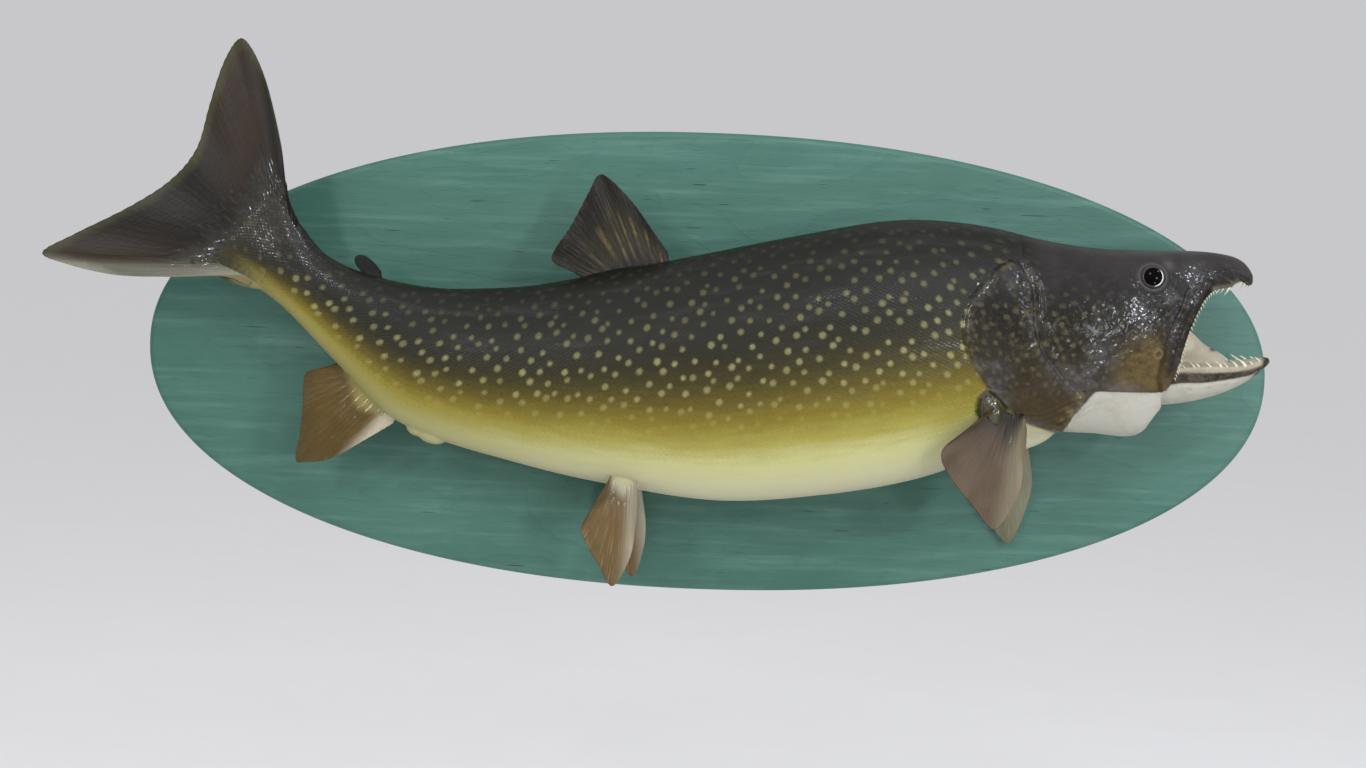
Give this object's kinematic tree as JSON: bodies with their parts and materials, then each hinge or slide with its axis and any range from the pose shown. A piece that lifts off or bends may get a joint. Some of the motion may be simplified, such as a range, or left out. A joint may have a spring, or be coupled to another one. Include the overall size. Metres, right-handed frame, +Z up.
{
  "type": "mounted lake trout",
  "caption": "Life-size mounted lake trout with its mouth open, fixed by its far flank to an oval stained-plywood wall plaque.",
  "frame": {"origin": "middle of the plaque's flat back face, where it lies on the wall", "axes": "+X along the plaque towards the fish's head, -Y out of the wall towards the viewer, +Z up"},
  "size_m": [1.0684, 0.1528, 0.4702],
  "materials": {
    "stained_plywood": "satin, blue-green stain over wavy plywood grain",
    "scaled_skin": "painted fish skin under wet-look lacquer, dark back, gold flank, cream belly, pale spots",
    "head_skin": "painted fish skin under crinkled high-gloss lacquer",
    "mouth_lining": "glossy, wet",
    "tooth": "glossy ivory",
    "glass_eye": "glossy glass dome over a black pupil and a brassy ring",
    "fin_membrane": "thin rayed membrane, painted and lacquered"
  },
  "bodies": {
    "root": {"board": "stained_plywood", "tail_stock": "scaled_skin", "trunk": "scaled_skin", "head": "head_skin", "throat": "head_skin", "lower_jaw": "head_skin", "tongue": "mouth_lining", "gill_cover_right": "head_skin", "gill_cover_left": "head_skin", "maxilla_right": "head_skin", "maxilla_left": "head_skin", "eye_right": "glass_eye", "eye_left": "glass_eye", "dorsal_fin": "fin_membrane", "adipose_fin": "fin_membrane", "anal_fin": "fin_membrane", "tail_fin": "fin_membrane", "pelvic_fin_right": "fin_membrane", "pelvic_fin_left": "fin_membrane", "pectoral_fin_right": "fin_membrane", "pectoral_fin_left": "fin_membrane"}
  },
  "joints": []
}
